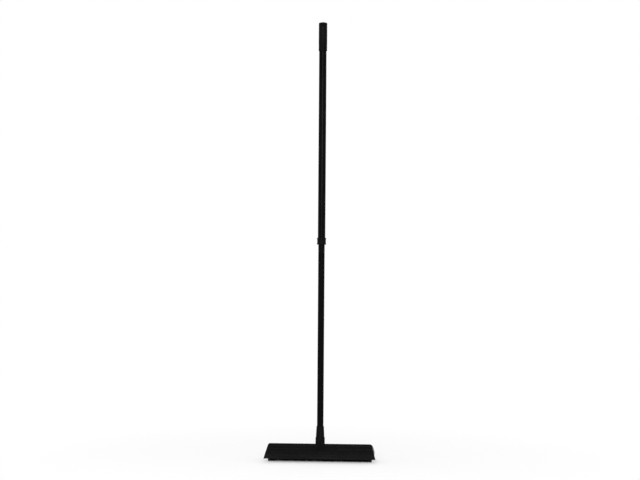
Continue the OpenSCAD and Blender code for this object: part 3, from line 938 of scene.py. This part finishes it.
    def cells(self) -> Workpiece:
        """Makes the cutter of the cells between the ribs.

        Returns:
            All cells as one cutter.
        """
        inside_y = self.back_y - self.wall
        rib_count = math.floor(self.half_width(self.top_z) / self.rib_pitch)
        ribs = [i * self.rib_pitch for i in range(-rib_count, rib_count + 1)]
        reach = self.shell_box.high.x
        lefts = [-reach] + [rib + self.rib_t / 2 for rib in ribs]
        rights = [rib - self.rib_t / 2 for rib in ribs] + [reach]
        rows = (
            (self.flange_back_y + self.nose_wall, self.rib_y),
            (self.rib_y + self.rib_t, inside_y - SINK),
        )
        low_z = self.pad_box.high.z - SINK
        cells = [
            self.hollow("cell", (left, front, low_z), (right, back, self.top_z - self.wall), SINK)
            for left, right in zip(lefts, rights)
            for front, back in rows
        ]
        cells[0].join(cells[1:])
        return cells[0]

    def groove(self, share: float) -> Workpiece:
        """Makes the cutter of a groove along the front slope.

        Args:
            share: Place of the groove, as a share of the slope's height.

        Returns:
            The cutter.
        """
        reach = self.shell_box.high.x
        bar = [(self.groove_r, -reach), (self.groove_r, reach)]
        cutter = Workpiece.turned("groove", bar, self.groove_sides)
        cutter.turn(degrees=90, axis=1)
        rise = self.ridge - self.nose
        cutter.move(self.nose + share * rise + (self.groove_r - self.groove_depth) * self.front_slope)
        return cutter

    def socket(self) -> Workpiece:
        """Makes the socket, still without its bore.

        Returns:
            The solid socket.
        """
        top, r, rim = self.shell_box.high.z, self.socket_d / 2, self.socket_rim
        profile = [
            (r, self.socket_floor_z - self.socket_floor_t), (r, top - rim),
            (r - MID_ROUND * rim, top - MID_ROUND * rim), (r - rim, top),
        ]
        return Workpiece.turned("socket", profile, ROUND_SIDES)

    def bore(self) -> Workpiece:
        """Makes the cutter of the socket's bore, with a bevelled mouth.

        Returns:
            The cutter.
        """
        top, r, rim = self.shell_box.high.z, self.socket_bore_d / 2, self.socket_rim
        profile = [(r, self.socket_floor_z), (r, top - rim), (r + rim + OVER, top + OVER)]
        return Workpiece.turned("bore", profile, ROUND_SIDES)

    def buttress(self) -> Workpiece:
        """Makes the buttress in front of the socket, with soft edges.

        Returns:
            The buttress.
        """
        foot_z = self.nose_top_z + self.buttress_lap
        foot_y = self.nose_y + self.buttress_toe
        top_z = self.shell_box.high.z - self.buttress_drop
        half_foot, half_top = self.buttress_foot_w / 2, self.buttress_top_w / 2
        top_y = -self.socket_d / 2 - self.buttress_lap
        piece = Workpiece.block("buttress", (-half_foot, foot_y, foot_z), (half_foot, 0, top_z))
        rise = top_z - foot_z
        for side in (-1, 1):
            piece.cut((side * half_top, 0, top_z), (side * rise, 0, half_foot - half_top))
        piece.cut((0, top_y, top_z), (0, -rise, top_y - foot_y))
        piece.round_edges(
            self.buttress_round, SOFT,
            lambda place, way: place.y < -NEAR and place.z > foot_z + NEAR and abs(way.y) < ALONG,
        )
        return piece

    def shell(self) -> Workpiece:
        """Makes the moulded head.

        Returns:
            The head.
        """
        shell = self.form()
        reach = self.blade_box.high.x + OVER
        low_z = self.rim_z - OVER
        inside_y = self.back_y - self.wall
        lap_y = self.flange_back_y - OVER
        cutters = [
            Workpiece.block(
                "seat", (-reach, self.nose_y - OVER, low_z), (reach, self.flange_back_y, self.seat_z)
            ),
            self.hollow("well", (-reach, lap_y, self.pad_z), (reach, inside_y, self.pad_box.high.z)),
            self.hollow(
                "mouth", (-reach, lap_y, low_z), (reach, inside_y - self.lip_w, self.pad_z + SINK)
            ),
            self.cells(),
        ]
        cutters += [self.groove(share) for share in self.groove_shares]
        for cutter in cutters:
            shell.combine(cutter, Combine.CUT)
        shell.combine(self.socket(), Combine.ADD)
        shell.combine(self.buttress(), Combine.ADD)
        shell.combine(self.bore(), Combine.CUT)
        shell.smooth()
        return shell

    def pin(self) -> Workpiece:
        """Makes one rubber pin on the pole's axis, with a flared root and a round tip.

        Returns:
            The pin.
        """
        root, tip, flare = self.pin_root_d / 2, self.pin_tip_d / 2, self.pin_flare
        profile = [(width * tip, height * tip) for width, height in self.pin_end]
        profile += [
            (root, self.pad_z - flare), (root + MID_ROUND * flare, self.pad_z - MID_ROUND * flare),
            (root + flare, self.pad_z + SINK),
        ]
        return Workpiece.turned("pin", profile, self.pin_sides)

    def bristles(self) -> Workpiece:
        """Makes the rubber pad with its rows of pins.

        Returns:
            The pad and the pins as one piece.
        """
        low, high = self.pad_box.low, self.pad_box.high
        pad = Workpiece.block("rubber_pins", (low.x, low.y, self.pad_z), high)
        pad.round_edges(self.pad_round, COARSE, lambda place, way: True)
        dice = random.Random(SEED)
        pin = self.pin()
        pitch = (high.x - low.x) / self.pins_per_row
        row_pitch = (self.pin_back_y - self.pin_front_y) / self.pin_rows
        pins = []
        for row in range(self.pin_rows):
            shift = self.row_shifts[row % len(self.row_shifts)]
            for i in range(self.pins_per_row - math.ceil(shift)):
                place = Vector((
                    low.x + (i + 0.5 + shift) * pitch,
                    self.pin_front_y + (row + 0.5) * row_pitch,
                    self.pad_z,
                ))
                tilt = Vector((dice.gauss(0, 1), dice.gauss(0, 1), 0)) * math.radians(self.pin_tilt)
                move = (
                    Matrix.Translation(place * MM)
                    @ Matrix.Rotation(tilt.x, 4, "X")
                    @ Matrix.Rotation(tilt.y, 4, "Y")
                    @ Matrix.Translation((0, 0, -self.pad_z * MM))
                )
                pins.append(pin.copy("pin_copy", move))
        pin.discard()
        pins[0].join(pins[1:])
        pad.combine(pins[0], Combine.ADD)
        pad.smooth(PIN_SMOOTH_ANGLE)
        return pad

    def blade_sides(self, z: float) -> tuple[float, float]:
        """Gives the front and the back of the blade's lip at a height.

        Args:
            z: The height.

        Returns:
            Y of the front face and of the back face.
        """
        edge_y, edge_z = self.blade_box.low.y, self.blade_box.low.z
        flange_z = self.seat_z - self.flange_t
        front = self.nose_y + (edge_y - self.nose_y) * (self.seat_z - z) / (self.seat_z - edge_z)
        root_y = self.nose_y + self.blade_root_t
        edge_back_y = edge_y + self.blade_edge_t
        back = root_y + (edge_back_y - root_y) * (flange_z - z) / (flange_z - edge_z)
        return front, back

    def blade(self) -> Workpiece:
        """Makes the rubber blade: a flange, and a lip drawn down from it station by station.

        Returns:
            The blade.
        """
        low, high = self.blade_box.low, self.blade_box.high
        flange_z = self.seat_z - self.flange_t
        reach = high.x + OVER
        drop = self.seat_z - low.z
        root_y = self.nose_y + self.blade_root_t
        blade = Workpiece.block("rubber_blade", (-reach, low.y, flange_z), (reach, high.y, self.seat_z))
        blade.cut((0, self.nose_y, self.seat_z), (0, -drop, self.nose_y - low.y))
        blade.cut((0, self.nose_y + self.blade_seam, self.seat_z), (0, -1, 1))
        blade.split((0, root_y, 0), (0, 1, 0))

        middle_z = (self.seat_z + low.z) / 2
        line_lift = self.blade_line_r - self.blade_line_depth
        line_half = math.sqrt(self.blade_line_r**2 - line_lift**2)
        # Height of each station, and how far its front and its back lie inside the plain lip
        stations = [(flange_z - self.blade_neck, 0.0, 0.0)]
        for share in self.blade_line_loops:
            rise = share * line_half
            depth = math.sqrt(self.blade_line_r**2 - rise**2) - line_lift
            stations.append((middle_z + rise, depth, 0.0))
        for turn in even_steps(0, math.pi / 2, self.blade_edge_steps):
            inset = self.blade_edge_round * (1 - math.cos(turn))
            stations.append((low.z + self.blade_edge_round * (1 - math.sin(turn)), inset, inset))

        z = flange_z
        front, back = self.blade_sides(z)
        with blade.editing():
            blade.pick(Element.FACES, lambda place, way: way.z < -ALONG and place.y < root_y)
            for next_z, front_inset, back_inset in stations:
                next_front, next_back = self.blade_sides(next_z)
                next_front += front_inset
                next_back -= back_inset
                middle_y = (next_front + next_back) / 2
                way = Vector((0, middle_y - (front + back) / 2, next_z - z))
                bpy.ops.mesh.extrude_region_move(TRANSFORM_OT_translate={"value": way * MM})
                bpy.ops.transform.resize(
                    value=(1, (next_back - next_front) / (back - front), 1),
                    center_override=(0, middle_y * MM, next_z * MM),
                )
                z, front, back = next_z, next_front, next_back
        self.cut_ends(blade, 0)
        blade.smooth()
        return blade

    def clamp(self) -> Workpiece:
        """Makes the clamp bar, with the tongue that carries the front of the pad.

        Returns:
            The bar.
        """
        low, high = self.clamp_box.low, self.clamp_box.high
        back_y = high.y - self.clamp_tongue
        bar = Workpiece.block("clamp_bar", low, (high.x, back_y, high.z))
        bar.split((0, 0, self.pad_z), (0, 0, 1))
        with bar.editing():
            bar.pick(Element.FACES, lambda place, way: way.y > ALONG and place.z < self.pad_z)
            bpy.ops.mesh.extrude_region_move(
                TRANSFORM_OT_translate={"value": (0, self.clamp_tongue * MM, 0)}
            )
        bar.round_edges(
            self.clamp_round, self.clamp_steps,
            lambda place, way: abs(place.z - self.pad_z) > NEAR or place.y > back_y + NEAR,
        )
        bar.smooth()
        return bar

    def build(self, wardrobe: Wardrobe) -> None:
        """Builds and dresses the pieces of the head.

        Args:
            wardrobe: Holds the finishes.
        """
        wardrobe.dress(self.shell(), self.body, "head_frame")
        wardrobe.dress(self.bristles(), self.body, "bristle_pad")
        wardrobe.dress(self.blade(), self.body, "scraper_blade")
        wardrobe.dress(self.clamp(), self.body, "blade_clamp")


@dataclass
class TwistLock:
    """The fluted collar of the lock.

    Attributes:
        body: Body that the collar moves with.
        bore_d: Bore for the upper tube.
        throat_d: Bore of the lip below the tube.
        throat_t: Thickness of that lip.
        edge: Rounding of the outer edges.
        lip_h: Height of the plain bands at both ends.
        mouth: Bevel of the mouths of the bore.
        waist: How far the fluted part lies inside the bands.
        step_round: Rounding of the step from a band to the waist, as a share of the waist.
        flutes: Number of flutes.
        flute_r: Radius of a flute.
        flute_depth: Depth of a flute.
        flute_sides: Sides of the collar for each flute.
    """

    body: str = "upper_pole"
    bore_d: float = 22.1
    throat_d: float = 19.6
    throat_t: float = 1.5
    edge: float = 1.0
    lip_h: float = 4.0
    mouth: float = 0.3
    waist: float = 0.7
    step_round: float = 0.2
    flutes: int = 14
    flute_r: float = 1.6
    flute_depth: float = 0.6
    flute_sides: int = 10

    def __post_init__(self) -> None:
        """Reads the outer sizes from the frame."""
        box = NodeBox.of("lock_collar")
        self.low_z, self.top_z = box.low.z, box.high.z
        self.radius = box.high.x

    def profile(self) -> Profile:
        """Gives the collar's section, once round.

        Returns:
            Radius and height of each ring.
        """
        r, low, top, waist = self.radius, self.low_z, self.top_z, self.waist
        band_z = low + self.lip_h
        corner, step = MID_ROUND * self.edge, self.step_round * waist
        half = [
            (r - self.edge, low), (r - corner, low + corner), (r, low + self.edge),
            (r, band_z - MID_ROUND * waist), (r - step, band_z + step),
        ]
        half += [(r - waist, band_z + rings * waist) for rings in (1, 2, 3)]
        mirrored = [(radius, low + top - z) for radius, z in reversed(half)]
        bore, throat, lip_z = self.bore_d / 2, self.throat_d / 2, low + self.throat_t
        inside = [
            (bore + self.mouth, top), (bore, top - self.mouth), (bore, lip_z),
            (throat, lip_z), (throat, low + self.mouth), (throat + self.mouth, low),
        ]
        return half + mirrored + inside + half[:1]

    def collar(self) -> Workpiece:
        """Turns the collar and draws its flutes in.

        Returns:
            The collar.
        """
        sides = self.flutes * self.flute_sides
        collar = Workpiece.turned("fluted_collar", self.profile(), sides)
        waist_r = self.radius - self.waist
        step = 2 * math.pi * waist_r / sides
        # The waist's first ring stays round, its second one takes half the depth and the others all of it
        first_z = self.low_z + self.lip_h + 1.5 * self.waist
        last_z = self.top_z - self.lip_h - 1.5 * self.waist
        full_low, full_top = first_z + self.waist, last_z - self.waist
        bands = ((1.0, full_low, full_top), (0.5, first_z, full_low), (0.5, full_top, last_z))
        for steps in range(self.flute_sides // 2):
            if steps * step >= self.flute_r:
                break
            depth = math.sqrt(self.flute_r**2 - (steps * step) ** 2) - self.flute_r + self.flute_depth
            if depth <= 0:
                break
            for share, low, high in bands:
                collar.draw_in(
                    1 - share * depth / waist_r,
                    lambda place, way: low <= place.z < high and self.flute_step(place) == steps
                    and place.xy.length > waist_r - self.flute_depth - NEAR,
                )
        collar.smooth()
        return collar

    def flute_step(self, place: Vector) -> int:
        """Counts the sides between a vertex and the middle of its flute."""
        turn = math.atan2(place.y, place.x) / (2 * math.pi) * self.flutes
        return round(abs((turn % 1) - 0.5) * self.flute_sides)

    def build(self, wardrobe: Wardrobe) -> None:
        """Builds and dresses the collar."""
        wardrobe.dress(self.collar(), self.body, "lock_collar")


@dataclass
class Handle:
    """The grip and its end cap.

    Attributes:
        body: Body that the pieces move with.
        bore_d: Bore of the grip.
        foot_round: Rounding of the foot of the grip.
        foot_steps: Steps of that rounding.
        seam: Depth of the seam between grip and cap.
        rings: Number of ring grooves.
        ring_rise: Height of the first one above the foot.
        ring_pitch: Distance between them.
        ring_w: Width of a ring groove.
        ring_h: Depth of a ring groove.
        screw_drop: Distance from the seam down to the screw.
        recess_d: Diameter of the screw's recess.
        recess_h: Depth of that recess.
        recess_low: How far below the grip's face the mouth of the recess starts to widen.
        recess_rise: How far above that face its cutter ends.
        recess_spread: How far the cutter has widened there.
        recess_sides: Sides of the cutter.
        cap_round: Rounding of the top edge of the cap.
        cap_crown: Rise of the cap's domed top.
        spigot_d: Diameter of the cap's spigot.
        spigot_edge: Bevel of the end of the spigot.
        spigot_bore_d: Bore of the spigot.
        spigot_floor_t: Thickness of the cap above that bore.
        hole_d: Diameter of the hanging hole.
        hole_rise: Height of the hole above the seam.
        hole_floor_t: Thickness left behind the hole.
        hole_sides: Sides of the hole.
        mouth: Rounding of the mouth of the hole.
        mouth_steps: Steps of that rounding.
    """

    body: str = "upper_pole"
    bore_d: float = 22.1
    foot_round: float = 1.2
    foot_steps: int = 3
    seam: float = 0.4
    rings: int = 3
    ring_rise: float = 8.0
    ring_pitch: float = 4.0
    ring_w: float = 1.4
    ring_h: float = 0.5
    screw_drop: float = 14.0
    recess_d: float = 8.0
    recess_h: float = 1.4
    recess_low: float = 0.35
    recess_rise: float = 0.4
    recess_spread: float = 0.8
    recess_sides: int = 48
    cap_round: float = 3.0
    cap_crown: float = 1.5
    spigot_d: float = 20.5
    spigot_edge: float = 0.8
    spigot_bore_d: float = 14.0
    spigot_floor_t: float = 4.0
    hole_d: float = 4.5
    hole_rise: float = 10.0
    hole_floor_t: float = 3.0
    hole_sides: int = 64
    mouth: float = 0.5
    mouth_steps: int = 5

    def __post_init__(self) -> None:
        """Reads the outer sizes from the frame."""
        grip, cap = NodeBox.of("grip"), NodeBox.of("hanger_cap")
        self.foot_z, self.seam_z = grip.low.z, grip.high.z
        self.radius = grip.high.x
        self.spigot_z, self.top_z = cap.low.z, cap.high.z

    def grip(self) -> Workpiece:
        """Turns the grip with its ring grooves and cuts the recess of the screw.

        Returns:
            The grip.
        """
        r, bore = self.radius, self.bore_d / 2
        profile = [(bore, self.foot_z)]
        for turn in even_steps(0, math.pi / 2, self.foot_steps):
            inset, rise = self.foot_round * (1 - math.sin(turn)), self.foot_round * (1 - math.cos(turn))
            profile.append((r - inset, self.foot_z + rise))
        for ring in range(self.rings):
            start = self.foot_z + self.ring_rise + ring * self.ring_pitch
            for share in even_steps(0, 1, FINE):
                depth = self.ring_h * math.sin(math.pi * share) ** 2
                profile.append((r - depth, start + share * self.ring_w))
        corner = MID_ROUND * self.seam
        profile += [(r, self.seam_z - 2 * self.seam), (r - corner, self.seam_z - corner)]
        profile += [(r - self.seam, self.seam_z), (bore, self.seam_z), (bore, self.foot_z)]
        grip = Workpiece.turned("grip_sleeve", profile, ROUND_SIDES)
        width = self.recess_d / 2
        cutter = [
            (width, r - self.recess_h), (width, r - self.recess_low),
            (width + self.recess_spread, r + self.recess_rise),
        ]
        recess = Workpiece.turned("recess", cutter, self.recess_sides)
        recess.turn(degrees=90, axis=0)
        recess.move((0, 0, self.seam_z - self.screw_drop))
        grip.combine(recess, Combine.CUT)
        grip.smooth()
        return grip

    def cap(self) -> Workpiece:
        """Turns the cap with its spigot and cuts the hanging hole.

        Returns:
            The cap.
        """
        r, spigot, bore = self.radius, self.spigot_d / 2, self.spigot_bore_d / 2
        corner = MID_ROUND * self.seam
        profile = [
            (bore, self.seam_z - self.spigot_floor_t), (bore, self.spigot_z),
            (spigot - self.spigot_edge, self.spigot_z), (spigot, self.spigot_z + self.spigot_edge),
            (spigot, self.seam_z), (r - self.seam, self.seam_z), (r - corner, self.seam_z + corner),
            (r, self.seam_z + 2 * self.seam),
        ]
        flat_r = r - self.cap_round
        crown_r = (flat_r**2 + self.cap_crown**2) / (2 * self.cap_crown)
        crown_turn = math.asin(flat_r / crown_r)
        edge_z = self.top_z - self.cap_crown - self.cap_round
        for turn in even_steps(0, math.pi / 2 - crown_turn, FINE):
            out, rise = self.cap_round * math.cos(turn), self.cap_round * math.sin(turn)
            profile.append((flat_r + out, edge_z + rise))
        for turn in even_steps(crown_turn, 0, FINE)[1:-1]:
            profile.append((crown_r * math.sin(turn), self.top_z - crown_r * (1 - math.cos(turn))))
        cap = Workpiece.turned("end_cap", profile, ROUND_SIDES)
        width = self.hole_d / 2
        bar = [(width, self.hole_floor_t - r)]
        for turn in even_steps(0, math.pi / 2, self.mouth_steps):
            bar.append((width + self.mouth * (1 - math.cos(turn)), r - self.mouth * (1 - math.sin(turn))))
        bar.append((width + self.mouth, r + OVER))
        hole = Workpiece.turned("hole", bar, self.hole_sides)
        hole.turn(degrees=90, axis=0)
        hole.move((0, 0, self.seam_z + self.hole_rise))
        cap.combine(hole, Combine.CUT)
        cap.smooth()
        return cap

    def build(self, wardrobe: Wardrobe) -> None:
        """Builds and dresses the grip and the cap."""
        wardrobe.dress(self.grip(), self.body, "grip")
        wardrobe.dress(self.cap(), self.body, "hanger_cap")


@dataclass
class Lamp:
    """A soft rectangular lamp.

    Attributes:
        name: Name of the lamp.
        place: Where it stands, in metres.
        aim: What it points at, in metres.
        size: Width and height in metres.
        power: Power in watts.
    """

    name: str
    place: tuple[float, float, float]
    aim: tuple[float, float, float]
    size: tuple[float, float]
    power: float

    def hang(self) -> None:
        """Adds the lamp to the scene."""
        data = bpy.data.lights.new(self.name, "AREA")
        data.shape = "RECTANGLE"
        data.size, data.size_y = self.size
        data.energy = self.power
        lamp = bpy.data.objects.new(self.name, data)
        lamp.location = self.place
        lamp.visible_camera = False
        way = Vector(self.aim) - Vector(self.place)
        lamp.rotation_euler = way.to_track_quat("-Z", "Y").to_euler()
        bpy.context.scene.collection.objects.link(lamp)


@dataclass
class Studio:
    """White floor and backdrop, soft lamps and the camera, in metres.

    Attributes:
        azimuth: How far the camera stands to the right of the front, in degrees.
        roll: How far the camera leans, in degrees.
        distance: Distance from the camera to the pole.
        eye_z: Height of the camera, which looks level.
        aside: How far the camera stands to the left of the pole.
        seen_width: Width of what the camera sees at the pole.
        fill: Level of the light from all around.
        floor_size: Side of the floor.
        plain_reach: Distances from the pole between which the floor turns to plain white.
        plain_share: How plain it is at these two.
        lamps: The lamps.
    """

    azimuth: float = 2.5
    roll: float = 0.41
    distance: float = 4.5
    eye_z: float = 0.6527
    aside: float = 0.0046
    seen_width: float = 1.888
    fill: float = 0.52
    floor_size: float = 60.0
    plain_reach: tuple[float, float] = (0.25, 0.9)
    plain_share: tuple[float, float] = (0.42, 1.0)
    lamps: tuple[Lamp, ...] = (
        Lamp("front", place=(0.19, -4.4, 1.31), aim=(0, 0, 0.95), size=(2.4, 0.4), power=125.0),
        Lamp("top", place=(-0.5, -1.5, 2.5), aim=(0, 0, 0.1), size=(1.6, 0.5), power=19.0),
        Lamp("rear", place=(0.4, 1.9, 1.6), aim=(0, 0, 0.1), size=(1.2, 0.5), power=11.0),
        Lamp("left_strip", place=(-1.7, -0.9, 0.8), aim=(0, 0, 0.7), size=(0.12, 1.9), power=4.0),
        Lamp("right_strip", place=(1.8, -0.55, 0.8), aim=(0, 0, 0.7), size=(0.12, 1.9), power=4.0),
    )

    def set_up(self) -> None:
        """Makes the world, the floor, the lamps and the camera."""
        bpy.context.scene.view_settings.view_transform = "Standard"
        self.make_world()
        self.make_floor()
        for lamp in self.lamps:
            lamp.hang()
        self.make_camera()

    @staticmethod
    def seen(board: Board) -> bpy.types.NodeSocket:
        """Tells rays that see the background from those that light the object.

        Args:
            board: Nodes of the world or the floor.

        Returns:
            1 for a camera, glossy or transmission ray.
        """
        rays = board.add("LightPath").outputs
        mirrored = board.maths("MAXIMUM", rays["Is Glossy Ray"], rays["Is Transmission Ray"])
        return board.maths("MAXIMUM", rays["Is Camera Ray"], mirrored)

    def make_world(self) -> None:
        """Makes a world that is white to look at and a soft fill for the object."""
        world = bpy.data.worlds.new("studio")
        world.use_nodes = True
        bpy.context.scene.world = world
        board = Board(world.node_tree)
        level = board.spread(self.seen(board), (0.0, 1.0), (self.fill, 1.0))
        sky = board.feed(board.add("Background"), Color=WHITE, Strength=level)
        board.feed(board.add("OutputWorld"), Surface=sky.outputs["Background"])

    def make_floor(self) -> None:
        """Makes the pale floor, which turns to plain white away from the object."""
        bpy.ops.object.select_all(action="DESELECT")
        bpy.ops.mesh.primitive_plane_add(size=self.floor_size)
        floor = bpy.context.object
        floor.name = "floor"
        material = bpy.data.materials.new("floor")
        material.use_nodes = True
        board = Board(material.node_tree)
        place = board.add("TexCoord").outputs["Object"]
        away = board.chain(board.add("VectorMath", operation="LENGTH"), place)
        plain = board.spread(away.outputs["Value"], self.plain_reach, self.plain_share)
        share = board.maths("MULTIPLY", self.seen(board), plain)
        matt = board.feed(board.add("BsdfDiffuse"), Color=PALE)
        bright = board.feed(board.add("Emission"), Color=WHITE, Strength=1.0)
        mix = board.chain(
            board.add("MixShader"), share, matt.outputs["BSDF"], bright.outputs["Emission"]
        )
        board.feed(board.add("OutputMaterial"), Surface=mix.outputs["Shader"])
        floor.data.materials.append(material)

    def make_camera(self) -> None:
        """Makes the camera, level with the middle of the pole."""
        data = bpy.data.cameras.new("camera")
        data.lens = data.sensor_width * self.distance / self.seen_width
        camera = bpy.data.objects.new("camera", data)
        bpy.context.scene.collection.objects.link(camera)
        bpy.context.scene.camera = camera
        turn = math.radians(self.azimuth)
        back = Vector((math.sin(turn), -math.cos(turn), 0))
        right = Vector((math.cos(turn), math.sin(turn), 0))
        camera.location = self.distance * back - self.aside * right + Vector((0, 0, self.eye_z))
        upright = back.to_track_quat("Z", "Y").to_matrix().to_4x4()
        roll = Matrix.Rotation(math.radians(self.roll), 4, "Z")
        camera.rotation_euler = (upright @ roll).to_euler()


def main() -> None:
    """Builds and dresses the sub-assemblies in order."""
    logging.basicConfig(level=logging.INFO, format="%(message)s")
    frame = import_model()
    wardrobe = Wardrobe(frame)
    wardrobe.dress_nodes()
    Studio().set_up()
    for assembly in (Head(), TwistLock(), Handle()):
        assembly.build(wardrobe)


if __name__ == "__main__":
    main()
